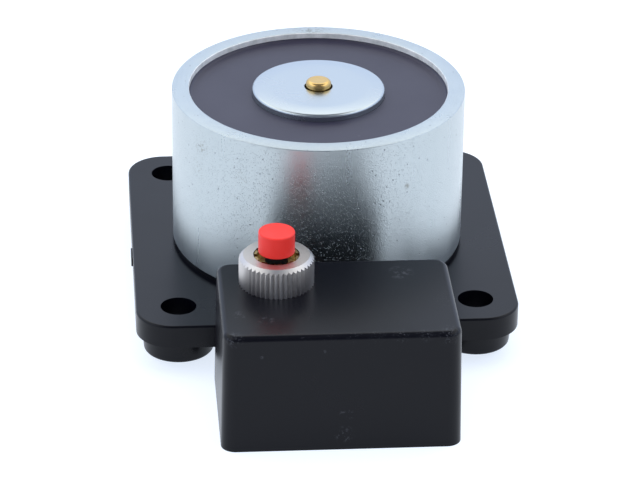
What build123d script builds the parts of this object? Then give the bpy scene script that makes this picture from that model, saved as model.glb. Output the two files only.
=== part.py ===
from build123d import *
import math
import os

# Door-holding electromagnet: moulded base with terminal box, potted magnet and release button.
# Millimetres. Origin at the centre of the four mounting holes, on the underside of the feet.
# +Z points out of the holding face and -Y towards the terminal box.

# Base plate, feet and the low pedestal under the magnet
plate_w = 83.6
plate_t = 5.2
plate_corner_r = 8.25
plate_edge_r = 0.5
hole_inset = 9.3
hole_r = 3.9
foot_h = 4.85
foot_r = 7.6
foot_flare = 0.4
foot_edge_r = 0.7
pedestal_step = 0.5
pedestal_h = 1.0
skirt_t = 2.4
rib_t = 2.0
core_out_depth = 2.6
centre_pad_r = 26.0

# Terminal box
box_w = 49.5
box_depth = 33.36
box_on_plate = 0.8
box_rise = 15.0
box_drop = 1.65
box_corner_r = 3.1
box_edge_r = 1.2
box_wall = 2.2
front_draft = 0.83
side_draft = 0.47

# Magnet
pot_r = 32.5
pot_h = 35.95
pot_wall = 3.8
pot_floor = 4.5
pot_edge = 0.3
pole_r = 14.75
pole_edge = 0.6
spigot_r = 10.0
potting_recess = 1.9
potting_t = 1.2
flange_t = 1.2
tube_t = 1.0
tape_t = 0.4
magnet_screw_circle_r = 20.0
lead_hole_r = 3.0

# Push-off pin in the middle of the pole
pin_r = 2.8
pin_proud = 1.5
pin_hole_r = 3.1
pin_bore_r = 4.5
pin_stop_depth = 6.0
pin_collar_h = 3.0
pin_tail_r = 2.4
pin_tail_h = 5.0
pin_edge = 0.9
pin_spring_l = 17.0
pin_spring_r = 3.4
pin_spring_wire_r = 0.35
plug_h = 6.0
plug_hex = 5.0

# Release button
button_inset_y = 9.2
nut_r = 8.0
nut_h = 6.55
nut_teeth = 46
nut_tooth_h = 0.32
nut_chamfer = 0.95
nut_bore_r = 4.9
bush_r = 4.75
bush_below_nut = 0.15
rim_bore_r = 4.18
rim_depth = 1.9
rim_slots = 10
cap_r = 3.875
cap_h = 4.8
cap_above_nut = 0.75
cap_edge_r = 0.3
stem_r = 2.4
shoulder_r = 3.1
switch_w = 13.0
switch_h = 9.0
base_t = 1.2

# Wiring space
block_w = 12.0
block_h = 12.0
block_z = 4.0
block_front_gap = 6.36
pole_count = 3
pole_pitch = 7.0
wire_bend = 1.0
wire_spacing = 1.0
rear_wire_reach = 4.0
front_wire_reach = 4.5
front_wire_gap = 2.2
low_wire_z = 7.0
high_wire_z = 13.2

# Screws, switch parts and terminal clamps
magnet_screw_r = 1.95
magnet_screw_l = 11.0
magnet_screw_head_r = 3.5
magnet_screw_head_h = 2.6
magnet_washer_r = 4.3
magnet_washer_t = 0.8
block_screw_r = 1.2
block_screw_l = 14.0
block_screw_head_r = 2.3
block_screw_head_h = 1.5
block_pocket_depth = 3.0
block_post_r = 2.6
washer_t = 0.7
bush_flange_r = 6.3
bush_flange_t = 1.2
case_roof_t = 1.5
lug_x = 4.85
lug_t = 0.5
lug_w = 2.4
lug_l = 5.2
bridge_t = 0.5
bridge_drop = 3.75
contact_gap = 0.02
spring_bore_r = 1.9
spring_bore_depth = 3.0
small_spring_r = 1.35
small_spring_wire_r = 0.2
clamp_to_screw = 0.1
clamp_rise = 5.6
clamp_screw_r = 1.25
clamp_screw_y = 3.2
lead_channel_depth = 3.2
sleeve_bore_r = 2.1
diode_r = 1.35
diode_l = 4.0
diode_lead_r = 0.3

# Clearances
running_gap = 0.05
seat_gap = 0.05
loose_gap = 0.3

hole_pitch = plate_w - 2 * hole_inset
pedestal_r = pot_r - pedestal_step
plate_z = foot_h + plate_t
pot_z = plate_z + pedestal_h
face_z = pot_z + pot_h
floor_z = pot_z + pot_floor
box_top_z = plate_z + box_rise
roof_z = box_top_z - box_wall
mount_points = [(sx * hole_pitch / 2, sy * hole_pitch / 2) for sx in (-1, 1) for sy in (-1, 1)]
screw_points = [
    (magnet_screw_circle_r * math.cos(math.radians(a)), magnet_screw_circle_r * math.sin(math.radians(a)))
    for a in (90, 210, 330)
]
lead_point = (0, -magnet_screw_circle_r)
standing = (Align.CENTER, Align.CENTER, Align.MIN)

box_rear_y = box_on_plate - plate_w / 2
box_front_y = box_rear_y - box_depth
room_y = box_rear_y - box_wall
block_l = pole_count * pole_pitch
clamp_w = pole_pitch - 2 * (block_screw_r + clamp_to_screw)
clamp_bore_r = clamp_w * 0.34
wire_r = clamp_bore_r * 0.47
spare_w = box_w - 2 * box_wall - switch_w - block_l
button_x = box_wall + spare_w / 3 + switch_w / 2 - box_w / 2
button_y = box_rear_y - button_inset_y
switch_side_x = button_x + switch_w / 2
block_x = switch_side_x + spare_w * 0.4
block_y = box_front_y + block_front_gap
block_rear_y = block_y + block_w
rear_room = room_y - block_rear_y
block_screw_x = [block_x + i * pole_pitch for i in range(1, pole_count)]
block_mid_y = block_y + block_w / 2
flange_r = pot_r - pot_wall - loose_gap
pin_collar_z = face_z - pin_stop_depth - running_gap - pin_collar_h
washer_z = roof_z - washer_t
flange_z = washer_z - bush_flange_t
case_z = flange_z - switch_h
cap_z = box_top_z + nut_h + cap_above_nut
lug_z = case_z - base_t - lug_l
bridge_z = flange_z - case_roof_t - bridge_drop
contact_z = bridge_z + contact_gap + lug_t
contact_x0 = shoulder_r + loose_gap
clamp_z = block_z + clamp_rise
lead_z = foot_h + 1.5


def disc(radius, z0, z1, x=0.0, y=0.0):
    return Pos(x, y, z0) * Cylinder(radius, z1 - z0, align=standing)


def ring(outer, inner, z0, z1, x=0.0, y=0.0):
    return disc(outer, z0, z1, x, y) - disc(inner, z0 - 1, z1 + 1, x, y)


def slab(x0, x1, y0, y1, z0, z1):
    return Pos(x0, y0, z0) * Box(x1 - x0, y1 - y0, z1 - z0, align=(Align.MIN, Align.MIN, Align.MIN))


def top_edges(shape):
    return shape.edges().group_by(Axis.Z)[-1]


def bottom_edges(shape):
    return shape.edges().group_by(Axis.Z)[0]


def coil_spring(wire, mean_r, z0, z1, turns, x=0.0, y=0.0):
    height = z1 - z0 - 2 * wire
    path = Pos(x, y, z0 + wire) * Helix(height / turns, height, mean_r)
    return sweep(Plane(origin=path @ 0, z_dir=path % 0) * Circle(wire), path)


def cable(points, radius=wire_r, bend=wire_bend):
    path = FilletPolyline(*points, radius=bend)
    return sweep(Plane(origin=path @ 0, z_dir=path % 0) * Circle(radius), path)


# Moulded housing: plate, pedestal, feet and terminal box in one piece
def make_plate():
    plate = extrude(Pos(0, 0, foot_h) * RectangleRounded(plate_w, plate_w, plate_corner_r), plate_t)
    plate = fillet(top_edges(plate), plate_edge_r)
    inside_w = plate_w - 2 * skirt_t
    inside_r = plate_corner_r - skirt_t
    hollow = extrude(Pos(0, 0, foot_h) * RectangleRounded(inside_w, inside_w, inside_r), core_out_depth)
    hollow -= disc(centre_pad_r, 0, plate_z)
    for x, y in mount_points:
        hollow -= disc(foot_r + foot_flare, 0, plate_z, x, y)
    for angle in range(0, 180, 45):
        hollow -= Rot(0, 0, angle) * Box(2 * plate_w, rib_t, 4 * plate_t)
    return plate - hollow + disc(pedestal_r, plate_z - 1, pot_z)


def make_foot(x, y):
    foot = Cone(foot_r, foot_r + foot_flare, foot_h, align=standing)
    foot = fillet(bottom_edges(foot), foot_edge_r)
    return Pos(x, y, 0) * foot


def make_terminal_box():
    low_w = box_w + 2 * side_draft
    low_depth = box_depth + front_draft
    low = Pos(0, box_rear_y - low_depth / 2, -box_drop) * RectangleRounded(low_w, low_depth, box_corner_r)
    high = Pos(0, box_rear_y - box_depth / 2, box_top_z) * RectangleRounded(box_w, box_depth, box_corner_r)
    shell = loft([low, high], ruled=True)
    return fillet(top_edges(shell), box_edge_r)


def box_cavity():
    length = box_w - 2 * box_wall
    depth = box_depth - 2 * box_wall
    outline = RectangleRounded(length, depth, box_corner_r - box_wall + 0.6)
    return extrude(Pos(0, box_rear_y - box_depth / 2, -box_drop - 1) * outline, roof_z + box_drop + 1)


def make_housing():
    body = make_plate()
    for x, y in mount_points:
        body += make_foot(x, y)
    body += make_terminal_box()
    body -= box_cavity()
    for x in block_screw_x:
        body += disc(block_post_r, block_z + block_h, roof_z + 1, x, block_mid_y)
        body -= disc(block_screw_r, block_z + block_h - 1, roof_z - 1, x, block_mid_y)
    for x, y in mount_points:
        body -= disc(hole_r, -1, plate_z + 1, x, y)
    for x, y in screw_points:
        body -= disc(magnet_screw_r + loose_gap, 0, pot_z + 1, x, y)
    body -= disc(lead_hole_r, 0, pot_z + 1, *lead_point)
    body -= slab(-lead_hole_r, lead_hole_r, room_y - 1, lead_point[1], 0, foot_h + lead_channel_depth)
    body -= disc(bush_r + loose_gap, roof_z - 1, box_top_z + 1, button_x, button_y)
    return body


# Magnet: steel cup, core with the pole face, and the potted coil
def make_pot():
    cup = disc(pot_r, pot_z, face_z) - disc(pot_r - pot_wall, floor_z, face_z + 1)
    cup = chamfer(top_edges(cup), pot_edge)
    cup = chamfer(bottom_edges(cup), pot_edge)
    cup -= disc(spigot_r, pot_z - 1, floor_z + 1)
    for x, y in screw_points:
        cup -= disc(magnet_screw_r + seat_gap, pot_z - 1, floor_z + 1, x, y)
    return cup - disc(lead_hole_r, pot_z - 1, floor_z + 1, *lead_point)


def make_core():
    core = disc(pole_r, floor_z, face_z)
    core = fillet(top_edges(core), pole_edge)
    core += disc(spigot_r - seat_gap, pot_z, floor_z + 1)
    core -= disc(pin_hole_r, pot_z, face_z + 1)
    return core - disc(pin_bore_r, pot_z - 1, face_z - pin_stop_depth)


def make_bobbin():
    z0 = floor_z + seat_gap
    z1 = face_z - potting_recess - potting_t - seat_gap
    inner = pole_r + loose_gap
    spool = ring(inner + tube_t, inner, z0, z1)
    spool += ring(flange_r, inner, z0, z0 + flange_t)
    spool += ring(flange_r, inner, z1 - flange_t, z1)
    return spool - disc(lead_hole_r, z0 - 1, z0 + flange_t + 0.5, *lead_point), z0 + flange_t, z1 - flange_t


def make_plug():
    z1 = pin_collar_z - pin_spring_l
    plug = disc(pin_bore_r - seat_gap, z1 - plug_h, z1)
    socket = RegularPolygon(plug_hex / 2, 6, major_radius=False)
    return plug - extrude(Pos(0, 0, z1 - plug_h) * socket, plug_h / 2)


# Pan-head screw standing head down, with a cross recess
def pan_screw(shank_r, length, head_r, head_h, z_seat, x, y):
    head = fillet(bottom_edges(disc(head_r, z_seat - head_h, z_seat)), head_h * 0.45)
    screw = head + disc(shank_r, z_seat - 0.5, z_seat + length)
    arm = head_r * 1.1
    for angle in (0, 90):
        screw -= Pos(0, 0, z_seat - head_h) * Rot(0, 0, angle) * Box(arm, head_r * 0.25, head_h)
    return Pos(x, y, 0) * screw


def magnet_screw(x, y):
    seat = foot_h - magnet_washer_t
    return pan_screw(magnet_screw_r, magnet_screw_l, magnet_screw_head_r, magnet_screw_head_h, seat, x, y)


def magnet_washer(x, y):
    return ring(magnet_washer_r, magnet_screw_r + loose_gap, foot_h - magnet_washer_t, foot_h, x, y)


# Push-off pin: brass, guided by its collar
def make_pin():
    top = face_z + pin_proud
    head = fillet(top_edges(disc(pin_r, pin_collar_z + pin_collar_h - 1, top)), pin_edge)
    pin = head + disc(pin_bore_r - running_gap, pin_collar_z, pin_collar_z + pin_collar_h)
    return pin + disc(pin_tail_r, pin_collar_z - pin_tail_h, pin_collar_z + 1)


# Release button, its bush and the switch below the box roof
def make_nut():
    points = []
    for i in range(2 * nut_teeth):
        r = nut_r if i % 2 == 0 else nut_r - nut_tooth_h
        a = math.pi * i / nut_teeth
        points.append((r * math.cos(a), r * math.sin(a)))
    knurl = extrude(Polygon(*points, align=None), nut_h)
    blank = chamfer(top_edges(Cylinder(nut_r, nut_h, align=standing)), nut_chamfer)
    nut = (knurl & blank) - Cylinder(nut_bore_r, 3 * nut_h)
    return Pos(button_x, button_y, box_top_z) * nut


def make_bush():
    top = box_top_z + nut_h - bush_below_nut
    bush = disc(bush_r, flange_z, top) + disc(bush_flange_r, flange_z, flange_z + bush_flange_t)
    bush -= disc(rim_bore_r, top - rim_depth, top + 1)
    bush -= disc(stem_r + running_gap, flange_z - 1, top)
    for i in range(rim_slots // 2):
        bush -= Pos(0, 0, top) * Rot(0, 0, 360 * i / rim_slots) * Box(3 * bush_r, 1.2, 2.0)
    return Pos(button_x, button_y, 0) * bush


def make_lock_washer():
    washer = ring(bush_flange_r + 0.3, bush_r + loose_gap, washer_z, roof_z)
    for i in range(8):
        washer -= Pos(0, 0, washer_z) * Rot(0, 0, 22.5 * i) * Pos(bush_flange_r + 0.3, 0, 0) * Box(1.6, 0.8, 3)
        washer -= Pos(0, 0, washer_z) * Rot(0, 0, 22.5 * i + 180) * Pos(bush_flange_r + 0.3, 0, 0) * Box(1.6, 0.8, 3)
    return Pos(button_x, button_y, 0) * washer


def make_switch_body():
    half = switch_w / 2
    case = slab(-half, half, -half, half, case_z, flange_z)
    case = fillet(case.edges().filter_by(Axis.Z), 0.8)
    room = half - 1.4
    case -= slab(-room, room, -room, room, case_z - 1, flange_z - case_roof_t)
    case -= disc(stem_r + loose_gap, case_z, flange_z + 1)
    return Pos(button_x, button_y, 0) * case


def make_switch_base():
    half = switch_w / 2
    base = slab(-half, half, -half, half, case_z - base_t, case_z)
    base = fillet(base.edges().filter_by(Axis.Z), 0.8)
    base += disc(1.0, case_z - 0.2, case_z + 1.2)
    for side in (-1, 1):
        base -= Pos(side * lug_x, 0, case_z) * Box(lug_t + 2 * seat_gap, lug_w + 2 * seat_gap, 4 * base_t)
    return Pos(button_x, button_y, 0) * base


def make_switch_terminals():
    lugs = []
    for side in (-1, 1):
        strip = Pos(side * lug_x, 0, lug_z) * Box(lug_t, lug_w, contact_z - lug_z, align=standing)
        arm_l = lug_x + lug_t / 2 - contact_x0
        arm = Pos(side * (contact_x0 + arm_l / 2), 0, contact_z - lug_t) * Box(arm_l, lug_w, lug_t, align=standing)
        eye = Pos(side * lug_x, 0, lug_z + 1.5) * Rot(0, 90, 0) * Cylinder(0.5, 4)
        lugs.append(Pos(button_x, button_y, 0) * (strip + arm - eye))
    return Compound(children=lugs)


def make_plunger():
    shoulder_top = flange_z - case_roof_t - running_gap
    stem = disc(stem_r, shoulder_top - 1, cap_z + cap_h - 1.6)
    stem += disc(shoulder_r, bridge_z, shoulder_top)
    stem -= disc(spring_bore_r, bridge_z - 1, bridge_z + spring_bore_depth)
    return Pos(button_x, button_y, 0) * stem


def make_bridge():
    reach = lug_x - lug_t / 2 - loose_gap
    bridge = slab(-reach, reach, -lug_w / 2, lug_w / 2, bridge_z - bridge_t, bridge_z)
    bridge += disc(spring_bore_r + 0.8, bridge_z - bridge_t, bridge_z)
    return Pos(button_x, button_y, 0) * (bridge - disc(spring_bore_r, bridge_z - 2, bridge_z + 1))


def make_cap():
    cap = fillet(top_edges(disc(cap_r, cap_z, cap_z + cap_h)), cap_edge_r)
    cap -= disc(stem_r + seat_gap, cap_z - 1, cap_z + cap_h - 1.55)
    return Pos(button_x, button_y, 0) * cap


# Terminal block, opened towards the back of the box
def pole_x(i):
    return block_x + pole_pitch * (i + 0.5)


def make_block():
    block = slab(block_x, block_x + block_l, block_y, block_y + block_w, block_z, block_z + block_h)
    block = chamfer(block.edges().filter_by(Axis.Z), 0.6)
    for i in range(pole_count):
        half = clamp_w / 2 + seat_gap
        x = pole_x(i)
        block -= slab(x - half, x + half, block_y - 1, block_y + block_w + 1, clamp_z - half, clamp_z + half)
        for side in (-1, 1):
            block -= disc(1.9, block_z - 1, clamp_z, x, block_mid_y + side * clamp_screw_y)
    for x in block_screw_x:
        block -= disc(block_screw_r + loose_gap, block_z - 1, block_z + block_h + 1, x, block_mid_y)
        block -= disc(block_screw_head_r + loose_gap, block_z - 1, block_z + block_pocket_depth, x, block_mid_y)
        block -= slab(x - 0.4, x + 0.4, block_y - 1, block_y + 1.2, block_z - 1, block_z + block_h + 1)
    return block


def make_clamps():
    clamps = []
    half = clamp_w / 2
    for i in range(pole_count):
        x = pole_x(i)
        tube = slab(x - half, x + half, block_y + 0.8, block_y + block_w - 0.8, clamp_z - half, clamp_z + half)
        tube -= Pos(x, block_mid_y, clamp_z) * Rot(90, 0, 0) * Cylinder(clamp_bore_r, 2 * block_w)
        for side in (-1, 1):
            tube -= disc(clamp_screw_r + seat_gap, clamp_z - clamp_w, clamp_z, x, block_mid_y + side * clamp_screw_y)
        clamps.append(tube)
    return Compound(children=clamps)


def make_clamp_screws():
    screws = []
    for i in range(pole_count):
        for side in (-1, 1):
            screw = disc(clamp_screw_r, block_z + 0.8, clamp_z - clamp_bore_r + 0.3)
            screw += disc(1.6, block_z + 0.8, block_z + 2.0)
            screw -= Pos(0, 0, block_z + 0.8) * Box(4, 0.5, 1.2)
            screws.append(Pos(pole_x(i), block_mid_y + side * clamp_screw_y, 0) * screw)
    return Compound(children=screws)


bobbin, coil_z0, coil_z1 = make_bobbin()
coil_r0 = pole_r + loose_gap + tube_t + seat_gap
coil_r1 = flange_r - tape_t - 0.7
spring_foot_z = pin_collar_z - pin_spring_l

nodes = {
    "housing": make_housing(),
    "pot_shell": make_pot(),
    "core": make_core(),
    "bobbin": bobbin,
    "winding": ring(coil_r1, coil_r0, coil_z0 + seat_gap, coil_z1 - seat_gap),
    "winding_tape": ring(coil_r1 + seat_gap + tape_t, coil_r1 + seat_gap, coil_z0 + 0.2, coil_z1 - 0.2),
    "potting": ring(
        pot_r - pot_wall - seat_gap,
        pole_r + seat_gap,
        face_z - potting_recess - potting_t,
        face_z - potting_recess,
    ),
    "push_off_pin": make_pin(),
    "pin_spring": coil_spring(pin_spring_wire_r, pin_spring_r, spring_foot_z, pin_collar_z, 7),
    "spring_plug": make_plug(),
    "lead_sleeve": ring(
        lead_hole_r - seat_gap,
        sleeve_bore_r,
        foot_h + lead_channel_depth + 0.1,
        floor_z,
        *lead_point,
    ),
    "pot_screws": Compound(
        children=[magnet_screw(x, y) for x, y in screw_points]
    ),
    "pot_washers": Compound(
        children=[magnet_washer(x, y) for x, y in screw_points]
    ),
    "knurled_nut": make_nut(),
    "switch_bush": make_bush(),
    "lock_washer": make_lock_washer(),
    "switch_body": make_switch_body(),
    "switch_base": make_switch_base(),
    "switch_terminals": make_switch_terminals(),
    "contact_bridge": make_bridge(),
    "plunger": make_plunger(),
    "button_cap": make_cap(),
    "return_spring": coil_spring(
        small_spring_wire_r,
        small_spring_r,
        case_z,
        bridge_z + spring_bore_depth,
        6,
        button_x,
        button_y,
    ),
    "terminal_block": make_block(),
    "clamp_bodies": make_clamps(),
    "clamp_screws": make_clamp_screws(),
    "block_screws": Compound(
        children=[
            pan_screw(
                block_screw_r - seat_gap,
                block_screw_l,
                block_screw_head_r,
                block_screw_head_h,
                block_z + block_pocket_depth,
                x,
                block_mid_y,
            )
            for x in block_screw_x
        ]
    ),
}

# Leads inside the housing, and the suppressor diode across the coil terminals
front_y = block_y - front_wire_gap
lug_face = lug_x + lug_t / 2 + wire_r + seat_gap
supply_x = switch_side_x + 2.4
switch_wire_x = block_x - 1.6
front_run_y = button_y - switch_w / 2 - 2.7
rear_end_y = block_mid_y + rear_wire_reach
front_end_y = block_mid_y - front_wire_reach
supply_y = room_y - 0.6 * rear_room
lead_paths = {
    "coil_lead_red": [
        (-wire_spacing, lead_point[1], coil_z0),
        (-wire_spacing, lead_point[1], lead_z),
        (-wire_spacing, room_y - 0.65 * rear_room, lead_z),
        (pole_x(0), block_rear_y + 0.2 * rear_room, clamp_z),
        (pole_x(0), rear_end_y, clamp_z),
    ],
    "coil_lead_black": [
        (wire_spacing, lead_point[1], coil_z0),
        (wire_spacing, lead_point[1], lead_z),
        (wire_spacing, room_y - 0.3 * rear_room, lead_z),
        (pole_x(1), block_rear_y + 0.3 * rear_room, clamp_z),
        (pole_x(1), rear_end_y, clamp_z),
    ],
    "switch_wire": [
        (button_x - lug_face, button_y, clamp_z),
        (button_x - lug_face, button_y, low_wire_z),
        (button_x - lug_face, front_run_y, low_wire_z),
        (switch_wire_x, front_run_y, low_wire_z),
        (switch_wire_x, front_y, low_wire_z),
        (pole_x(0) - 0.45 * clamp_bore_r, front_y, clamp_z),
        (pole_x(0) - 0.45 * clamp_bore_r, front_end_y, clamp_z),
    ],
    "supply_wire": [
        (button_x + lug_face, button_y, clamp_z),
        (supply_x, button_y, clamp_z),
        (supply_x + 1.5, supply_y, high_wire_z),
        (pole_x(2), supply_y, high_wire_z),
        (pole_x(2), block_rear_y + 0.2 * rear_room, clamp_z),
        (pole_x(2), rear_end_y, clamp_z),
    ],
}
for name, points in lead_paths.items():
    nodes[name] = cable(points)

diode_x = (pole_x(0) + pole_x(1)) / 2 + 0.4
diode = Pos(diode_x, front_y, clamp_z) * Rot(0, 90, 0) * Cylinder(diode_r, diode_l)
diode_hole = Pos(diode_x, front_y, clamp_z) * Rot(0, 90, 0) * Cylinder(diode_lead_r + seat_gap, 2 * diode_l)
nodes["suppressor"] = diode - diode_hole
nodes["suppressor_leads"] = Compound(
    children=[
        cable([(x, front_end_y, clamp_z), (x, front_y, clamp_z), (end, front_y, clamp_z)], diode_lead_r, 0.6)
        for x, end in ((pole_x(0) + 0.65 * clamp_bore_r, diode_x - 0.2), (pole_x(1), diode_x + 0.2))
    ]
)

os.makedirs("parts", exist_ok=True)
for name, shape in nodes.items():
    export_step(shape, f"parts/{name}.step")
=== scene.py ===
import math
import random

import bmesh
import bpy
from mathutils import Matrix, Vector


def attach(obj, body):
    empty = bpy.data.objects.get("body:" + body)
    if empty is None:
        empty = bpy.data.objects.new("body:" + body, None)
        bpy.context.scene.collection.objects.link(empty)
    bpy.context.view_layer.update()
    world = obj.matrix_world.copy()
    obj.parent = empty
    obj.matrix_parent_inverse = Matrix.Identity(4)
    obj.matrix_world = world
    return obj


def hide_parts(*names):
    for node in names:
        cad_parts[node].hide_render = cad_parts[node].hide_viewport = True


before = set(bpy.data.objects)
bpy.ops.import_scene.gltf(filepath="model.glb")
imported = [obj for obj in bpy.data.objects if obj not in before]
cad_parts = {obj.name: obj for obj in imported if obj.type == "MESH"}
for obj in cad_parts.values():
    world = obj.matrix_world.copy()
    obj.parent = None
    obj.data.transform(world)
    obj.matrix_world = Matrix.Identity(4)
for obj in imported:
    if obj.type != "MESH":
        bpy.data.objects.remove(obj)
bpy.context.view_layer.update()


# The camera: a long lens a little left of the terminal box, looking down on the
# button and the holding face. All lengths in this file are metres, in the CAD frame.
camera_place = (-0.05401, -0.68839, 0.36927)
camera_turn = Matrix.Rotation(math.radians(-4.551), 4, "Z")
camera_tilt = Matrix.Rotation(math.radians(90 - 27.589), 4, "X")
camera_roll = Matrix.Rotation(math.radians(0.745), 4, "Z")
bpy.ops.object.camera_add(location=camera_place)
camera = bpy.context.object
camera.name = "camera"
camera.rotation_euler = (camera_turn @ camera_tilt @ camera_roll).to_euler()
camera.data.sensor_width = 36
camera.data.lens = 193.19
camera.data.clip_start = 0.05
camera.data.clip_end = 20
bpy.context.scene.camera = camera
bpy.context.scene.view_settings.view_transform = "Standard"


# The light: pale, slightly cool walls behind and at both sides, a darker room in front
# and overhead, and two soft lamps that the metal doesn't mirror. The floor is pale and
# keeps the shadow.
MM = 0.001
floor_z = -1.70 * MM
wall_strength = 1.8
wall_low = (0.510, 0.590, 0.760, 1)
wall_middle = (0.525, 0.610, 0.790, 1)
wall_high = (0.960, 0.990, 1.000, 1)
dark_room = (0.110, 0.120, 0.155, 1)
middle_rise = 0.46
high_rise = 0.60
front_spread = 0.55
front_limits = (0.05, 0.45)
overhead_limits = (0.80, 0.92)
lamp_aim = Vector((0, -0.02, 0))
lamp_size = (0.55, 0.45)
lamp_colour = (1.0, 0.98, 0.95)
floor_matt = (0.72, 0.74, 0.76, 1)
floor_lit = (0.38, 0.38, 0.38, 1)
floor_glow = (0.80, 0.88, 1.0, 1)
floor_glow_strength = 0.88


def math_node(tree, operation, first, second):
    node = tree.nodes.new("ShaderNodeMath")
    node.operation = operation
    for socket, value in zip(node.inputs, (first, second)):
        if isinstance(value, (int, float)):
            socket.default_value = value
        else:
            tree.links.new(value, socket)
    return node.outputs[0]


def map_node(tree, value, low, high, out_low=0.0, out_high=1.0):
    node = tree.nodes.new("ShaderNodeMapRange")
    tree.links.new(value, node.inputs["Value"])
    node.inputs["From Min"].default_value = low
    node.inputs["From Max"].default_value = high
    node.inputs["To Min"].default_value = out_low
    node.inputs["To Max"].default_value = out_high
    return node.outputs[0]


world = bpy.data.worlds.new("light_tent")
bpy.context.scene.world = world
world.use_nodes = True
tree = world.node_tree
nodes, links = tree.nodes, tree.links
background = nodes["Background"]
split = nodes.new("ShaderNodeSeparateXYZ")
links.new(nodes.new("ShaderNodeTexCoord").outputs["Generated"], split.inputs[0])
walls = nodes.new("ShaderNodeValToRGB")
walls.color_ramp.elements[0].position = 0.0
walls.color_ramp.elements[0].color = wall_low
walls.color_ramp.elements[1].position = high_rise
walls.color_ramp.elements[1].color = wall_high
walls.color_ramp.elements.new(middle_rise).color = wall_middle
links.new(split.outputs["Z"], walls.inputs[0])
aside = math_node(tree, "ABSOLUTE", split.outputs["X"], 0.0)
aside = math_node(tree, "MULTIPLY", aside, front_spread)
ahead = math_node(tree, "MULTIPLY", split.outputs["Y"], -1.0)
ahead = math_node(tree, "SUBTRACT", ahead, aside)
front = map_node(tree, ahead, *front_limits)
overhead = map_node(tree, split.outputs["Z"], *overhead_limits)
shade = nodes.new("ShaderNodeMix")
shade.data_type = "RGBA"
links.new(math_node(tree, "MAXIMUM", front, overhead), shade.inputs[0])
links.new(walls.outputs[0], shade.inputs[6])
shade.inputs[7].default_value = dark_room
links.new(shade.outputs[2], background.inputs["Color"])
background.inputs["Strength"].default_value = wall_strength
seen_white = nodes.new("ShaderNodeBackground")
seen_white.inputs["Color"].default_value = (1, 1, 1, 1)
seen_white.inputs["Strength"].default_value = 1.0
eye = nodes.new("ShaderNodeLightPath")
switch = nodes.new("ShaderNodeMixShader")
links.new(eye.outputs["Is Camera Ray"], switch.inputs[0])
links.new(background.outputs[0], switch.inputs[1])
links.new(seen_white.outputs[0], switch.inputs[2])
links.new(switch.outputs[0], nodes["World Output"].inputs["Surface"])

for name, spot, watts in (
    ("lamp_above", (0.02, 0.05, 0.62), 1.8),
    ("lamp_in_front", (-0.20, -0.60, 0.25), 1.0),
):
    bpy.ops.object.light_add(type="AREA", location=spot)
    lamp = bpy.context.object
    lamp.name = name
    lamp.rotation_euler = (lamp_aim - Vector(spot)).to_track_quat("-Z", "Y").to_euler()
    lamp.data.shape = "RECTANGLE"
    lamp.data.size, lamp.data.size_y = lamp_size
    lamp.data.energy = watts
    lamp.data.color = lamp_colour
    lamp.visible_glossy = False

bpy.ops.mesh.primitive_plane_add(size=6, location=(0, 0, floor_z))
floor = bpy.context.object
floor.name = "floor"
floor_look = bpy.data.materials.new("pale_floor")
floor_look.use_nodes = True
tree = floor_look.node_tree
nodes, links = tree.nodes, tree.links
nodes.remove(nodes["Principled BSDF"])
matt = nodes.new("ShaderNodeBsdfDiffuse")
matt.inputs["Color"].default_value = floor_matt
lit = nodes.new("ShaderNodeBsdfDiffuse")
lit.inputs["Color"].default_value = floor_lit
glow = nodes.new("ShaderNodeEmission")
glow.inputs["Color"].default_value = floor_glow
glow.inputs["Strength"].default_value = floor_glow_strength
lift = nodes.new("ShaderNodeAddShader")
eye = nodes.new("ShaderNodeLightPath")
seen = math_node(tree, "MAXIMUM", eye.outputs["Is Camera Ray"], eye.outputs["Is Glossy Ray"])
seen = math_node(tree, "MAXIMUM", seen, eye.outputs["Is Transmission Ray"])
switch = nodes.new("ShaderNodeMixShader")
links.new(lit.outputs[0], lift.inputs[0])
links.new(glow.outputs[0], lift.inputs[1])
links.new(seen, switch.inputs[0])
links.new(matt.outputs[0], switch.inputs[1])
links.new(lift.outputs[0], switch.inputs[2])
underneath = nodes.new("ShaderNodeMixShader")
links.new(nodes.new("ShaderNodeNewGeometry").outputs["Backfacing"], underneath.inputs[0])
links.new(switch.outputs[0], underneath.inputs[1])
links.new(nodes.new("ShaderNodeBsdfTransparent").outputs[0], underneath.inputs[2])
links.new(underneath.outputs[0], nodes["Material Output"].inputs["Surface"])
floor.data.materials.append(floor_look)


# Shared finish: slow changes, fine grain, specks, and scuffs that also serve as painted
# highlights, as node groups that each material below takes with its own values.
noise_turn = (0.61, 0.93, 0.42)
speck_edge = (0.16, 0.34)
spot_core = 0.2
spot_edge = 0.10
patch_range = (0.2, 0.8)
grain_depth = 0.02 * MM


def new_group(name, inputs, outputs):
    group = bpy.data.node_groups.new(name, "ShaderNodeTree")
    for label, kind, value in inputs:
        socket = group.interface.new_socket(label, in_out="INPUT", socket_type=kind)
        if value is not None:
            socket.default_value = value
    for label, kind in outputs:
        group.interface.new_socket(label, in_out="OUTPUT", socket_type=kind)
    return group, group.nodes.new("NodeGroupInput"), group.nodes.new("NodeGroupOutput")


def noise_node(tree, vector, scale, detail, roughness=0.55):
    turn = tree.nodes.new("ShaderNodeMapping")
    turn.inputs["Rotation"].default_value = noise_turn
    tree.links.new(vector, turn.inputs["Vector"])
    node = tree.nodes.new("ShaderNodeTexNoise")
    tree.links.new(turn.outputs[0], node.inputs["Vector"])
    if isinstance(scale, (int, float)):
        node.inputs["Scale"].default_value = scale
    else:
        tree.links.new(scale, node.inputs["Scale"])
    node.inputs["Detail"].default_value = detail
    node.inputs["Roughness"].default_value = roughness
    return node.outputs["Fac"]


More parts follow.
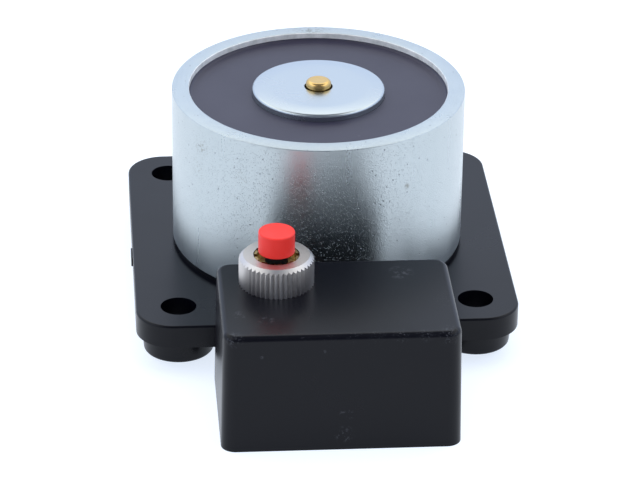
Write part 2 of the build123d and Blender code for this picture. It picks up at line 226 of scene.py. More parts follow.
mottle, inside, outside = new_group(
    "mottle",
    [("Vector", "NodeSocketVector", None), ("Patch Scale", "NodeSocketFloat", 60.0),
     ("Grain Scale", "NodeSocketFloat", 2500.0)],
    [("Patches", "NodeSocketFloat"), ("Grain", "NodeSocketFloat")],
)
patches = noise_node(mottle, inside.outputs["Vector"], inside.outputs["Patch Scale"], 4.0)
grain = noise_node(mottle, inside.outputs["Vector"], inside.outputs["Grain Scale"], 2.0)
mottle.links.new(patches, outside.inputs["Patches"])
mottle.links.new(grain, outside.inputs["Grain"])

specks, inside, outside = new_group(
    "specks",
    [("Vector", "NodeSocketVector", None), ("Scale", "NodeSocketFloat", 900.0),
     ("Share", "NodeSocketFloat", 0.2)],
    [("Mask", "NodeSocketFloat")],
)
cells = specks.nodes.new("ShaderNodeTexVoronoi")
specks.links.new(inside.outputs["Vector"], cells.inputs["Vector"])
specks.links.new(inside.outputs["Scale"], cells.inputs["Scale"])
near = map_node(specks, cells.outputs["Distance"], *speck_edge, 1.0, 0.0)
draw = specks.nodes.new("ShaderNodeSeparateColor")
specks.links.new(cells.outputs["Color"], draw.inputs[0])
chosen = math_node(specks, "LESS_THAN", draw.outputs[0], inside.outputs["Share"])
specks.links.new(math_node(specks, "MULTIPLY", near, chosen), outside.inputs["Mask"])

# Spot mask for scratches and wear, and also for painted highlights at given places.
scuff_and_glint, inside, outside = new_group(
    "scuff_and_glint",
    [("Vector", "NodeSocketVector", None), ("Place", "NodeSocketVector", (0, 0, 0)),
     ("Reach", "NodeSocketFloat", 0.002), ("Scale", "NodeSocketFloat", 2500.0),
     ("Cover", "NodeSocketFloat", 0.5)],
    [("Mask", "NodeSocketFloat")],
)
away = scuff_and_glint.nodes.new("ShaderNodeVectorMath")
away.operation = "DISTANCE"
scuff_and_glint.links.new(inside.outputs["Vector"], away.inputs[0])
scuff_and_glint.links.new(inside.outputs["Place"], away.inputs[1])
share = math_node(scuff_and_glint, "DIVIDE", away.outputs["Value"], inside.outputs["Reach"])
fade = map_node(scuff_and_glint, share, spot_core, 1.0, 1.0, 0.0)
marks = noise_node(scuff_and_glint, inside.outputs["Vector"], inside.outputs["Scale"], 4.0, 0.7)
marks = math_node(scuff_and_glint, "SUBTRACT", marks, inside.outputs["Cover"])
marks = map_node(scuff_and_glint, marks, 0.0, spot_edge)
scuff_and_glint.links.new(math_node(scuff_and_glint, "MULTIPLY", fade, marks), outside.inputs["Mask"])


def new_look(name, colour, metallic, roughness, ior=1.45):
    look = bpy.data.materials.new(name)
    look.use_nodes = True
    shader = look.node_tree.nodes["Principled BSDF"]
    shader.inputs["Base Color"].default_value = (*colour, 1)
    shader.inputs["Metallic"].default_value = metallic
    shader.inputs["Roughness"].default_value = roughness
    shader.inputs["IOR"].default_value = ior
    here = look.node_tree.nodes.new("ShaderNodeTexCoord").outputs["Object"]
    return look, shader, here


def add_group(look, group, here, **values):
    node = look.node_tree.nodes.new("ShaderNodeGroup")
    node.node_tree = group
    look.node_tree.links.new(here, node.inputs["Vector"])
    for label, value in values.items():
        node.inputs[label.replace("_", " ")].default_value = value
    return node


def add_scuffs_and_glints(look, here, spot_list):
    mask = None
    for x, y, z, reach, scale, cover in spot_list:
        node = add_group(look, scuff_and_glint, here, Reach=reach * MM, Scale=scale, Cover=cover)
        node.inputs["Place"].default_value = (x * MM, y * MM, z * MM)
        found = node.outputs["Mask"]
        mask = found if mask is None else math_node(look.node_tree, "MAXIMUM", mask, found)
    return mask


def mix_colour(look, factor, first, second):
    node = look.node_tree.nodes.new("ShaderNodeMix")
    node.data_type = "RGBA"
    look.node_tree.links.new(factor, node.inputs[0])
    for socket, value in ((node.inputs[6], first), (node.inputs[7], second)):
        if isinstance(value, tuple):
            socket.default_value = (*value, 1)
        else:
            look.node_tree.links.new(value, socket)
    return node.outputs[2]


def add_bump(look, shader, height, strength, distance):
    node = look.node_tree.nodes.new("ShaderNodeBump")
    node.inputs["Strength"].default_value = strength
    node.inputs["Distance"].default_value = distance
    look.node_tree.links.new(height, node.inputs["Height"])
    look.node_tree.links.new(node.outputs[0], shader.inputs["Normal"])


def paint(look, shader, factor, first, second):
    colour = mix_colour(look, factor, first, second)
    look.node_tree.links.new(colour, shader.inputs["Base Color"])


def vary_gloss(look, shader, soft, smooth, rough):
    gloss = map_node(look.node_tree, soft.outputs["Patches"], *patch_range, smooth, rough)
    look.node_tree.links.new(gloss, shader.inputs["Roughness"])


# The housing: one black moulding in glass-filled nylon. The plate, the low pedestal
# under the magnet, the four feet and the terminal box come out of one mould.
plate_half = 41.8 * MM
plate_low = 4.85 * MM
plate_top = 10.05 * MM
plate_corner = 8.25 * MM
plate_edge = 0.5 * MM
pedestal_r = 32.0 * MM
pedestal_top = 11.05 * MM
hole_place = 32.5 * MM
hole_r = 3.9 * MM
foot_r = 7.6 * MM
foot_flare = 0.4 * MM
foot_edge = 0.7 * MM
foot_h = plate_low + 0.5 * MM
box_half = 24.75 * MM
box_back = -41.0 * MM
box_front = -74.36 * MM
box_low = -1.65 * MM
box_top = 25.05 * MM
box_wall = 2.2 * MM
front_draft = 0.83 * MM
side_draft = 0.47 * MM
box_corner = 3.1 * MM
box_edge = 1.2 * MM
cavity_corner = 1.5 * MM
nut_x = -12.35 * MM
nut_y = -50.2 * MM
switch_hole_r = 5.05 * MM
switch_hole_z = (20 * MM, 26 * MM)
post_r = 2.6 * MM
post_low = 16 * MM
post_high = 23 * MM
post_y = -62 * MM
posts_x = (5.59 * MM, 12.59 * MM)
skirt = 2.4 * MM
coring_reach = 2.6 * MM
hub_r = 26 * MM
rib_half = 1 * MM
rib_reach = 90 * MM
screw_circle_r = 20 * MM
screw_hole_r = 2.25 * MM
lead_hole_r = 3 * MM
lead_hole_y = -20 * MM
channel_top = plate_low + 3.2 * MM
hole_depth = 12 * MM
gate_rise = 0.35 * MM
gate_y = (-6.9 * MM, -1.9 * MM)
gate_z = (6.5 * MM, 8.5 * MM)
moulded_edge = 0.1 * MM
nylon_black = (0.0012, 0.0014, 0.0040)
# Lighter colour for worn spots, also used for painted highlights at the box's front top
# corners.
nylon_worn_and_lit = (0.050, 0.053, 0.064)
worn_roughness = 0.6
nylon_relief = 0.01 * MM
past = 1 * MM  # how far a cutter or a joined piece reaches past the wall that it meets


def start_piece(add, **settings):
    if bpy.context.mode != "OBJECT":
        bpy.ops.object.mode_set(mode="OBJECT")
    bpy.ops.object.select_all(action="DESELECT")
    add(**settings)
    return bpy.context.object


def start_block(x0, x1, y0, y1, z0, z1):
    middle = ((x0 + x1) / 2, (y0 + y1) / 2, (z0 + z1) / 2)
    piece = start_piece(bpy.ops.mesh.primitive_cube_add, size=1, location=middle)
    piece.scale = (x1 - x0, y1 - y0, z1 - z0)
    bpy.ops.object.transform_apply(location=True, rotation=True, scale=True)
    return piece


def start_disc(radius, z0, z1, x=0.0, y=0.0, sides=96):
    piece = start_piece(
        bpy.ops.mesh.primitive_cylinder_add,
        vertices=sides, radius=radius, depth=z1 - z0, location=(x, y, (z0 + z1) / 2),
    )
    bpy.ops.object.transform_apply(location=True, rotation=True, scale=True)
    return piece


def select_faces(test):
    mesh = bmesh.from_edit_mesh(bpy.context.edit_object.data)
    bpy.ops.mesh.select_all(action="DESELECT")
    bpy.ops.mesh.select_mode(type="FACE")
    for face in mesh.faces:
        face.select_set(test(face.calc_center_median(), face.normal))
    bmesh.update_edit_mesh(bpy.context.edit_object.data)


def select_edges(test):
    mesh = bmesh.from_edit_mesh(bpy.context.edit_object.data)
    bpy.ops.mesh.select_all(action="DESELECT")
    bpy.ops.mesh.select_mode(type="EDGE")
    for edge in mesh.edges:
        edge.select_set(test(edge.verts[0].co, edge.verts[1].co))
    bmesh.update_edit_mesh(bpy.context.edit_object.data)


def level_edges(z):
    return lambda a, b: abs(a.z - z) < 1e-6 and abs(b.z - z) < 1e-6


def upright_edges(a, b):
    return abs(a.z - b.z) > 1e-4 and (a.xy - b.xy).length < 2 * MM


def bevel_edges(test, width, segments):
    bpy.ops.object.mode_set(mode="EDIT")
    select_edges(test)
    bpy.ops.mesh.bevel(offset=width, segments=segments, affect="EDGES", clamp_overlap=False)
    bpy.ops.object.mode_set(mode="OBJECT")


def use_modifier(piece, kind, **settings):
    bpy.ops.object.select_all(action="DESELECT")
    piece.select_set(True)
    bpy.context.view_layer.objects.active = piece
    modifier = piece.modifiers.new(kind.lower(), kind)
    for name, value in settings.items():
        setattr(modifier, name, value)
    bpy.ops.object.modifier_apply(modifier=modifier.name)


def combine(piece, other, operation):
    use_modifier(piece, "BOOLEAN", operation=operation, object=other, solver="EXACT")
    bpy.data.objects.remove(other)


def finish_piece(piece, name, look, body, slot, *cad_nodes, angle=35):
    if bpy.context.mode != "OBJECT":
        bpy.ops.object.mode_set(mode="OBJECT")
    bpy.ops.object.select_all(action="DESELECT")
    piece.select_set(True)
    bpy.context.view_layer.objects.active = piece
    piece.name = name
    piece.data.name = name
    bpy.ops.object.shade_smooth_by_angle(angle=math.radians(angle))
    use_modifier(piece, "WEIGHTED_NORMAL", keep_sharp=True)
    piece.data.materials.clear()
    piece.data.materials.append(look)
    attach(piece, body)
    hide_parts(*cad_nodes)


housing = start_block(-plate_half, plate_half, -plate_half, plate_half, plate_low, plate_top)
bevel_edges(upright_edges, plate_corner, 18)
bevel_edges(level_edges(plate_top), plate_edge, 3)

corners = [(x * hole_place, y * hole_place) for x in (-1, 1) for y in (-1, 1)]
tray = plate_half - skirt
coring = start_block(
    -tray, tray, -tray, tray, plate_low - coring_reach, plate_low + coring_reach,
)
bevel_edges(upright_edges, plate_corner - skirt, 8)
combine(coring, start_disc(hub_r, 0, plate_top), "DIFFERENCE")
for corner_x, corner_y in corners:
    column = start_disc(foot_r + foot_flare, 0, plate_top, corner_x, corner_y)
    combine(coring, column, "DIFFERENCE")
for turn in range(4):
    rib = start_block(-rib_reach, rib_reach, -rib_half, rib_half, 0, plate_top)
    rib.rotation_euler.z = math.radians(45 * turn)
    bpy.ops.object.transform_apply(location=False, rotation=True, scale=False)
    combine(coring, rib, "DIFFERENCE")
combine(housing, coring, "DIFFERENCE")

terminal_box = start_block(-box_half, box_half, box_front, box_back, box_low, box_top)
bpy.ops.object.mode_set(mode="EDIT")
select_edges(lambda a, b: level_edges(box_low)(a, b) and a.y + b.y < 1.9 * box_front)
bpy.ops.transform.translate(value=(0, -front_draft, 0))
select_edges(level_edges(box_low))
bpy.ops.transform.resize(value=(1 + side_draft / box_half, 1, 1))
bpy.ops.object.mode_set(mode="OBJECT")
bevel_edges(upright_edges, box_corner, 12)
bevel_edges(level_edges(box_top), box_edge, 5)
combine(housing, terminal_box, "UNION")

for corner_x, corner_y in corners:
    foot = start_piece(
        bpy.ops.mesh.primitive_cone_add,
        vertices=96, radius1=foot_r, radius2=foot_r + foot_flare, depth=foot_h,
        location=(corner_x, corner_y, foot_h / 2),
    )
    bpy.ops.object.transform_apply(location=True, rotation=True, scale=True)
    bevel_edges(level_edges(0), foot_edge, 4)
    combine(housing, foot, "UNION")
combine(housing, start_disc(pedestal_r, plate_top - past, pedestal_top, sides=256), "UNION")

gate = start_block(-plate_half - gate_rise, past - plate_half, *gate_y, *gate_z)
combine(housing, gate, "UNION")

cavity = start_block(
    box_wall - box_half, box_half - box_wall, box_front + box_wall, box_back - box_wall,
    box_low - past, box_top - box_wall,
)
bevel_edges(upright_edges, cavity_corner, 6)
combine(housing, cavity, "DIFFERENCE")
for post_x in posts_x:
    post = start_disc(post_r, post_low, post_high, post_x, post_y, sides=48)
    combine(housing, post, "UNION")
for corner_x, corner_y in corners:
    bore = start_disc(hole_r, -past, plate_top + past, corner_x, corner_y)
    combine(housing, bore, "DIFFERENCE")
for screw_turn in (90, 210, 330):
    screw_x = screw_circle_r * math.cos(math.radians(screw_turn))
    screw_y = screw_circle_r * math.sin(math.radians(screw_turn))
    bore = start_disc(screw_hole_r, 0, hole_depth, screw_x, screw_y, sides=48)
    combine(housing, bore, "DIFFERENCE")
bore = start_disc(lead_hole_r, 0, hole_depth, 0, lead_hole_y, sides=48)
combine(housing, bore, "DIFFERENCE")
channel = start_block(
    -lead_hole_r, lead_hole_r, box_back - box_wall - past, lead_hole_y, 0, channel_top,
)
combine(housing, channel, "DIFFERENCE")
bore = start_disc(switch_hole_r, *switch_hole_z, nut_x, nut_y, sides=64)
combine(housing, bore, "DIFFERENCE")
use_modifier(
    housing, "BEVEL", width=moulded_edge, segments=2, limit_method="ANGLE",
    angle_limit=math.radians(40), harden_normals=False,
)

black_plastic, shader, here = new_look("black_plastic", nylon_black, 0, 0.30, 1.30)
tree, links = black_plastic.node_tree, black_plastic.node_tree.links
soft = add_group(black_plastic, mottle, here, Patch_Scale=45.0, Grain_Scale=3200.0)
# Most of these marks are wear; the two at the box's front top corners, at -22.4 and 22.0 mm
# across, are painted highlights.
rubbed_and_lit_marks = [  # place and reach in mm, scale of the marks, how much of them stays away
    (14.2, -47.4, 25.1, 3.2, 700, 0.50), (-15.5, -66.8, 25.1, 2.0, 900, 0.52),
    (-20.8, -64.4, 25.1, 1.8, 900, 0.54), (23.6, -60.5, 24.6, 5.0, 2600, 0.58),
    (-22.4, -73.4, 24.5, 2.2, 1500, 0.50), (22.0, -73.3, 24.6, 3.0, 2400, 0.54),
    (-16.8, -74.7, 20.5, 0.5, 3000, 0.42), (-3.8, -74.7, 21.5, 0.5, 3000, 0.42),
    (0.5, -74.8, 6.5, 2.0, 900, 0.56), (0.5, -75.0, 1.8, 2.4, 1100, 0.53),
]
rubbed_and_lit_marks += [(x, -73.9, 25.0, 2.3, 2800, 0.64 - 0.003 * (x + 18)) for x in range(-18, 22, 5)]
wear_and_highlight = add_scuffs_and_glints(black_plastic, here, rubbed_and_lit_marks)
# The lighter colour paints wear, and at the two front top corners a painted highlight.
paint(black_plastic, shader, wear_and_highlight, nylon_black, nylon_worn_and_lit)
gloss = map_node(tree, soft.outputs["Patches"], *patch_range, 0.24, 0.36)
dull = math_node(tree, "MULTIPLY", wear_and_highlight, worn_roughness)
links.new(math_node(tree, "MAXIMUM", gloss, dull), shader.inputs["Roughness"])
add_bump(black_plastic, shader, soft.outputs["Grain"], 0.10, nylon_relief)
finish_piece(housing, "moulded_housing", black_plastic, "base", "black_plastic", "housing")


# The magnet's cup: turned steel, zinc plated and blue passivated. Its rim is slightly
# crowned, streaks and pits show through the plating, and its bore is duller, with a
# painted highlight: a paler, near-white copy of the zinc.
cup_r = 32.5 * MM
cup_wall = 3.8 * MM
cup_low = 11.05 * MM
cup_top = 47.0 * MM
cup_floor = 15.55 * MM
rim_outer = 2.3 * MM
rim_fall = 0.2 * MM
rim_roll = 1.2 * MM
rim_edge = 0.2 * MM
bore_fall = 0.05 * MM
cup_low_edge = 0.25 * MM
streak_stretch = (1, 1, 0.12)
zinc_relief = 0.06 * MM


def ring_edges(z, low, high):
    def test(a, b):
        return level_edges(z)(a, b) and all(low * MM < v.xy.length < high * MM for v in (a, b))
    return test


def move_ring(test, rise):
    bpy.ops.object.mode_set(mode="EDIT")
    select_edges(test)
    bpy.ops.transform.translate(value=(0, 0, rise))
    bpy.ops.object.mode_set(mode="OBJECT")


cup = start_disc(cup_r, cup_low, cup_top, sides=256)
bpy.ops.object.mode_set(mode="EDIT")
select_faces(lambda centre, normal: normal.z > 0.9)
bpy.ops.mesh.inset(thickness=rim_outer, depth=0)
bpy.ops.mesh.inset(thickness=cup_wall - rim_outer, depth=0)
bpy.ops.mesh.extrude_region_move(TRANSFORM_OT_translate={"value": (0, 0, cup_floor - cup_top)})
bpy.ops.object.mode_set(mode="OBJECT")
move_ring(ring_edges(cup_top, 32, 33), -rim_fall)
move_ring(ring_edges(cup_top, 28, 29), -bore_fall)
bevel_edges(ring_edges(cup_top, 30, 30.5), rim_roll, 8)
bevel_edges(ring_edges(cup_top - rim_fall, 32, 33), rim_edge, 3)
bevel_edges(ring_edges(cup_top - bore_fall, 28, 29), rim_edge, 3)
bevel_edges(level_edges(cup_low), cup_low_edge, 2)

zinc, shader, here = new_look("blue_zinc", (0.50, 0.55, 0.56), 1.0, 0.28)
tree, links = zinc.node_tree, zinc.node_tree.links
soft = add_group(zinc, mottle, here, Patch_Scale=90.0, Grain_Scale=4000.0)
pits = add_group(zinc, specks, here, Scale=1500.0, Share=0.03)
sparkle = add_group(zinc, specks, here, Scale=3300.0, Share=0.45)
stretch = tree.nodes.new("ShaderNodeMapping")
stretch.inputs["Scale"].default_value = streak_stretch
links.new(here, stretch.inputs["Vector"])
streaks = noise_node(tree, stretch.outputs[0], 200.0, 2.0)
scratched = add_scuffs_and_glints(zinc, here, [
    (-27.0, -18.5, 41.5, 3.0, 1500, 0.52), (-27.3, -17.6, 36.0, 3.0, 1500, 0.55),
    (-18.8, -26.5, 37.9, 2.2, 1600, 0.52), (17.3, -27.5, 35.5, 0.9, 1500, 0.42),
    (0.0, 30.6, 47.0, 5.5, 1300, 0.50), (-8.0, -31.5, 24.0, 5.0, 1500, 0.60),
])
links.new(map_node(tree, streaks, 0.25, 0.75, 0.26, 0.33), shader.inputs["Roughness"])
colour = mix_colour(zinc, streaks, (0.45, 0.505, 0.52), (0.53, 0.575, 0.585))
colour = mix_colour(zinc, pits.outputs["Mask"], colour, (0.32, 0.345, 0.36))
paint(zinc, shader, scratched, colour, (0.30, 0.31, 0.29))
relief = math_node(tree, "MULTIPLY", sparkle.outputs["Mask"], 0.9)
relief = math_node(tree, "ADD", soft.outputs["Grain"], relief)
relief = math_node(tree, "SUBTRACT", relief, pits.outputs["Mask"])
add_bump(zinc, shader, relief, 1.0, zinc_relief)
shader.inputs["Anisotropic"].default_value = 0.65
shader.inputs["Anisotropic Rotation"].default_value = 0.25
turned = tree.nodes.new("ShaderNodeTangent")
turned.direction_type = "RADIAL"
turned.axis = "Z"
links.new(turned.outputs[0], shader.inputs["Tangent"])
finish_piece(cup, "magnet_cup", zinc, "base", "zinc_steel", "pot_shell")

# The bore's near-white colours are a painted highlight, standing in for the light that the
# turned bore reflects.
bore_zinc_painted_bright, shader, here = new_look("bore_zinc_painted_bright", (0.55, 0.58, 0.59), 0.35, 0.62)
soft = add_group(bore_zinc_painted_bright, mottle, here, Patch_Scale=420.0, Grain_Scale=2200.0)
tone = map_node(bore_zinc_painted_bright.node_tree, soft.outputs["Patches"], 0.35, 0.65)
paint(bore_zinc_painted_bright, shader, tone, (0.72, 0.74, 0.73), (0.97, 0.98, 0.98))
add_bump(bore_zinc_painted_bright, shader, soft.outputs["Grain"], 0.3, zinc_relief)
cup.data.materials.append(bore_zinc_painted_bright)
for face in cup.data.polygons:
    if face.normal.xy.dot(face.center.xy) < -0.5 * face.center.xy.length:
        face.material_index = 1


# The core: turned steel whose upper end is the pole face, level with the cup's rim. It
# rolls off towards its edge. The push-off pin comes through the hole in its middle,
# and the wider bore below the hole holds the pin's collar and its spring.
pole_r = 14.75 * MM
pin_hole_r = 3.1 * MM
pin_hole_depth = 6 * MM
pin_bore_r = 4.5 * MM
pole_crown = 2.4 * MM
pole_fall = 0.3 * MM
pole_roll = 1.9 * MM
pole_edge = 0.55 * MM
pin_hole_edge = 0.2 * MM

core = start_disc(pole_r, cup_floor, cup_top, sides=160)
bpy.ops.object.mode_set(mode="EDIT")
select_faces(lambda centre, normal: normal.z > 0.9)
bpy.ops.mesh.inset(thickness=pole_crown, depth=0)
bpy.ops.mesh.inset(thickness=pole_r - pole_crown - pin_hole_r, depth=0)
bpy.ops.mesh.extrude_region_move(TRANSFORM_OT_translate={"value": (0, 0, -pin_hole_depth)})
bpy.ops.mesh.extrude_region_move(TRANSFORM_OT_translate={"value": (0, 0, 0)})
bpy.ops.transform.resize(
    value=(pin_bore_r / pin_hole_r, pin_bore_r / pin_hole_r, 1),
    center_override=(0, 0, cup_top - pin_hole_depth),
)
bore_length = cup_top - pin_hole_depth - cup_floor - past
bpy.ops.mesh.extrude_region_move(TRANSFORM_OT_translate={"value": (0, 0, -bore_length)})
bpy.ops.object.mode_set(mode="OBJECT")
move_ring(ring_edges(cup_top, 14, 15), -pole_fall)
bevel_edges(ring_edges(cup_top, 12, 12.7), pole_roll, 8)
bevel_edges(ring_edges(cup_top - pole_fall, 14, 15), pole_edge, 6)
bevel_edges(ring_edges(cup_top, 2, 4), pin_hole_edge, 2)

pole_zinc, shader, here = new_look("pole_zinc", (0.50, 0.545, 0.565), 1.0, 0.25)
soft = add_group(pole_zinc, mottle, here, Patch_Scale=50.0, Grain_Scale=2600.0)
vary_gloss(pole_zinc, shader, soft, 0.22, 0.30)
add_bump(pole_zinc, shader, soft.outputs["Grain"], 0.10, grain_depth)
finish_piece(core, "pole_core", pole_zinc, "base", "pole_steel", "core")


# The potting: dark casting resin poured round the coil, below the rim, with a rise
# where it wets the two steel walls.
resin_z = 45.1 * MM
resin_out = 28.65 * MM
resin_in = 14.8 * MM
resin_middle = 20 * MM
resin_thickness = 1.0 * MM
resin_steps = (0.2, 0.3, 0.5, 1.0, 2.45, 2.45, 2.45, 2.45, 1.0, 0.5, 0.35, 0.2)
climb_out = 0.6
climb_in = 0.08
climb_width = 0.22 * MM
swell_share = 0.5
swell_start = 3 * MM
resin_dark = (0.028, 0.026, 0.048)

resin = start_piece(
    bpy.ops.mesh.primitive_circle_add, vertices=192, radius=resin_out, fill_type="NGON",
    location=(0, 0, resin_z),
)
bpy.ops.object.transform_apply(location=True, rotation=True, scale=True)
bpy.ops.object.mode_set(mode="EDIT")
bpy.ops.mesh.select_all(action="SELECT")
for step in resin_steps:
    bpy.ops.mesh.inset(thickness=step * MM, depth=0)
bpy.ops.mesh.delete(type="FACE")
bpy.ops.object.mode_set(mode="OBJECT")
random.seed(11)
waves = [
    (random.uniform(0, 6.3), random.randint(2, 5), random.uniform(0.01, 0.03))
    for _ in range(4)
]
for vertex in resin.data.vertices:
    radius = vertex.co.xy.length
    angle = math.atan2(vertex.co.y, vertex.co.x)
    wall = max(min(resin_out - radius, radius - resin_in), 0)
    climb = (climb_out if radius > resin_middle else climb_in) * math.exp(-wall / climb_width)
    swell = sum(size * math.sin(count * angle + start) for start, count, size in waves)
    vertex.co.z += (climb + swell_share * swell * min(1, wall / swell_start)) * MM
use_modifier(resin, "SOLIDIFY", thickness=resin_thickness, offset=-1)

resin_look, shader, here = new_look("potting_resin", resin_dark, 0, 0.34, 1.40)
soft = add_group(resin_look, mottle, here, Patch_Scale=55.0, Grain_Scale=2400.0)
dust = add_group(resin_look, specks, here, Scale=420.0, Share=0.02)
vary_gloss(resin_look, shader, soft, 0.34, 0.46)
paint(resin_look, shader, dust.outputs["Mask"], resin_dark, (0.10, 0.10, 0.13))
add_bump(resin_look, shader, soft.outputs["Grain"], 0.10, grain_depth)
finish_piece(resin, "potting_resin", resin_look, "base", "potting_resin", "potting")


# The push-off pin: turned brass with a rounded end, sprung from below, standing
# 1.5 mm out of the pole face.
pin_top = 48.5 * MM
pin_low = 41 * MM
pin_r = 2.8 * MM
pin_round = 0.9 * MM
collar_r = 4.45 * MM
collar_low = 37.95 * MM
collar_top = 40.95 * MM
tail_r = 2.4 * MM
tail_low = 32.95 * MM
tail_top = 38.5 * MM

pin = start_disc(pin_r, pin_low, pin_top, sides=96)
bevel_edges(level_edges(pin_top), pin_round, 8)
combine(pin, start_disc(collar_r, collar_low, collar_top, sides=64), "UNION")
combine(pin, start_disc(tail_r, tail_low, tail_top, sides=64), "UNION")

brass, shader, here = new_look("turned_brass", (0.80, 0.57, 0.20), 1.0, 0.24)
soft = add_group(brass, mottle, here, Patch_Scale=400.0, Grain_Scale=3000.0)
vary_gloss(brass, shader, soft, 0.18, 0.30)
paint(brass, shader, soft.outputs["Patches"], (0.74, 0.50, 0.20), (0.62, 0.40, 0.13))
add_bump(brass, shader, soft.outputs["Grain"], 0.08, grain_depth)
finish_piece(pin, "brass_pin", brass, "pin", "pin_brass", "push_off_pin")


# The knurled nut: turned from bright metal bar with straight knurling, screwed on the
# switch's bush to clamp it to the roof of the terminal box.
nut_r = 8.0 * MM
nut_h = 6.55 * MM
nut_top = box_top + nut_h
nut_teeth = 46
nut_sides = nut_teeth * 4
tooth_h = 0.42 * MM
nut_chamfer = 0.95 * MM
nut_bore_r = 4.9 * MM

nut = start_disc(nut_r, box_top, nut_top, nut_x, nut_y, sides=nut_sides)
bpy.ops.object.mode_set(mode="EDIT")
for step, share in ((1, 0.45), (2, 1.0), (3, 0.45)):
    select_edges(lambda a, b: (a.xy - b.xy).length < 1e-6 and round(
        math.atan2(a.y - nut_y, a.x - nut_x) / (2 * math.pi) * nut_sides) % 4 == step)
    scale = 1 - tooth_h * share / nut_r
    bpy.ops.transform.resize(value=(scale, scale, 1), center_override=(nut_x, nut_y, box_top))
bpy.ops.object.mode_set(mode="OBJECT")
shoulder = start_disc(nut_r, box_top - past, nut_top, nut_x, nut_y, sides=192)
bevel_edges(level_edges(nut_top), nut_chamfer, 1)
combine(nut, shoulder, "INTERSECT")
bore = start_disc(nut_bore_r, box_top - 2 * past, nut_top + past, nut_x, nut_y, sides=96)
combine(nut, bore, "DIFFERENCE")

nut_look, shader, here = new_look("turned_nut", (0.61, 0.58, 0.56), 1.0, 0.41)
soft = add_group(nut_look, mottle, here, Patch_Scale=350.0, Grain_Scale=2500.0)
vary_gloss(nut_look, shader, soft, 0.36, 0.46)
add_bump(nut_look, shader, soft.outputs["Grain"], 0.08, grain_depth)
finish_piece(nut, "knurled_ring_nut", nut_look, "base", "nut_metal", "knurled_nut", angle=25)


# The button cap: red moulded plastic, pressed on the switch's plunger. It stands well
# above the nut and goes down into it when it is pushed.
cap_r = 3.875 * MM
cap_low = 32.35 * MM
cap_top = 37.15 * MM
cap_top_edge = 0.35 * MM
cap_low_edge = 0.12 * MM

cap = start_disc(cap_r, cap_low, cap_top, nut_x, nut_y, sides=128)
bevel_edges(level_edges(cap_top), cap_top_edge, 5)
bevel_edges(level_edges(cap_low), cap_low_edge, 2)

red, shader, here = new_look("red_plastic", (0.82, 0.026, 0.018), 0, 0.42)
soft = add_group(red, mottle, here, Patch_Scale=250.0, Grain_Scale=3000.0)
vary_gloss(red, shader, soft, 0.38, 0.50)
add_bump(red, shader, soft.outputs["Grain"], 0.06, grain_depth)
finish_piece(cap, "red_button", red, "button", "red_plastic", "button_cap")


# The pieces from here on keep their solids. Turned and stamped metal parts first: screws,
# washers, springs, clamps and contacts, each plated or bright as its use asks.
def plain_look(name, dark, light, metallic, rough, smoother, patch_scale, relief):
    look, shader, here = new_look(name, light, metallic, rough)
    soft = add_group(look, mottle, here, Patch_Scale=patch_scale, Grain_Scale=2600.0)
    vary_gloss(look, shader, soft, rough - smoother, rough + 0.08)
    paint(look, shader, soft.outputs["Patches"], dark, light)
    add_bump(look, shader, soft.outputs["Grain"], relief, grain_depth)
    return look


def dress(look, cad_nodes):
    for name in cad_nodes:
        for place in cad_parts[name].material_slots:
            place.material = look


def dress_metal(name, dark, light, rough, *cad_nodes):
    dress(plain_look(name, dark, light, 1.0, rough, 0.06, 300.0, 0.10), cad_nodes)


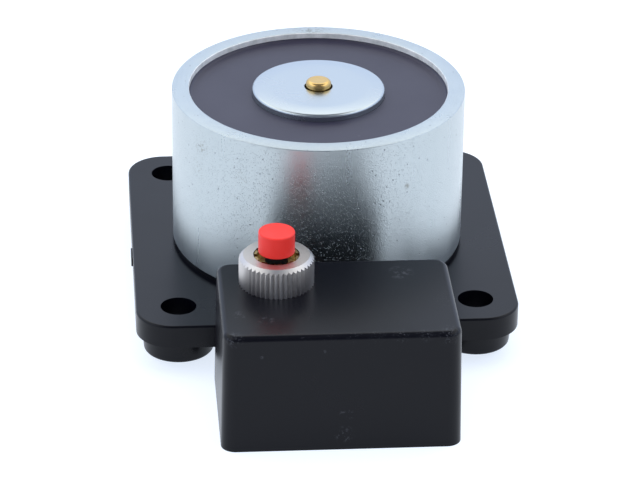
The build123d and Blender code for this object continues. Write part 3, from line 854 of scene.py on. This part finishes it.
dress_metal("bush_brass", (0.42, 0.30, 0.14), (0.56, 0.41, 0.19), 0.28, "switch_bush")
dress_metal("clamp_brass", (0.55, 0.40, 0.16), (0.68, 0.50, 0.22), 0.30, "clamp_bodies")
dress_metal(
    "zinc_screw", (0.52, 0.56, 0.60), (0.62, 0.66, 0.70), 0.28,
    "pot_screws", "pot_washers", "clamp_screws", "block_screws",
)
dress_metal(
    "spring_wire", (0.40, 0.40, 0.41), (0.52, 0.52, 0.53), 0.26,
    "pin_spring", "return_spring",
)
dress_metal(
    "hardened_steel", (0.30, 0.30, 0.31), (0.42, 0.42, 0.43), 0.32,
    "lock_washer", "spring_plug",
)
dress_metal(
    "silvered_contact", (0.70, 0.68, 0.64), (0.82, 0.80, 0.76), 0.24,
    "switch_terminals", "contact_bridge",
)
dress_metal("tinned_lead", (0.60, 0.60, 0.60), (0.72, 0.72, 0.72), 0.30, "suppressor_leads")
dress_metal("copper_wire", (0.60, 0.27, 0.13), (0.75, 0.37, 0.20), 0.30, "winding")


# Moulded and drawn insulating parts: the coil's bobbin and tape, the switch's case, the
# terminal block, the wires' sheaths and the diode.
def dress_plastic(name, dark, light, rough, *cad_nodes):
    dress(plain_look(name, dark, light, 0, rough, 0.05, 250.0, 0.12), cad_nodes)


dress_plastic("bobbin_nylon", (0.50, 0.48, 0.42), (0.58, 0.56, 0.50), 0.42, "bobbin")
dress_plastic("coil_tape", (0.62, 0.48, 0.10), (0.72, 0.58, 0.16), 0.34, "winding_tape")
dress_plastic(
    "switch_case", (0.010, 0.010, 0.011), (0.018, 0.018, 0.020), 0.36,
    "switch_body", "plunger",
)
dress_plastic("switch_board", (0.14, 0.06, 0.03), (0.20, 0.09, 0.05), 0.45, "switch_base")
dress_plastic("block_nylon", (0.44, 0.44, 0.42), (0.54, 0.54, 0.52), 0.40, "terminal_block")
dress_plastic(
    "sleeve_rubber", (0.012, 0.012, 0.012), (0.024, 0.024, 0.024), 0.55,
    "lead_sleeve",
)
dress_plastic("red_sheath", (0.42, 0.015, 0.012), (0.52, 0.025, 0.02), 0.40, "coil_lead_red")
dress_plastic(
    "black_sheath", (0.010, 0.010, 0.011), (0.020, 0.020, 0.022), 0.40,
    "coil_lead_black",
)
dress_plastic("blue_sheath", (0.012, 0.05, 0.32), (0.02, 0.08, 0.42), 0.40, "switch_wire")
dress_plastic("brown_sheath", (0.08, 0.035, 0.015), (0.13, 0.06, 0.03), 0.40, "supply_wire")
dress_plastic("diode_epoxy", (0.010, 0.010, 0.011), (0.018, 0.018, 0.019), 0.38, "suppressor")
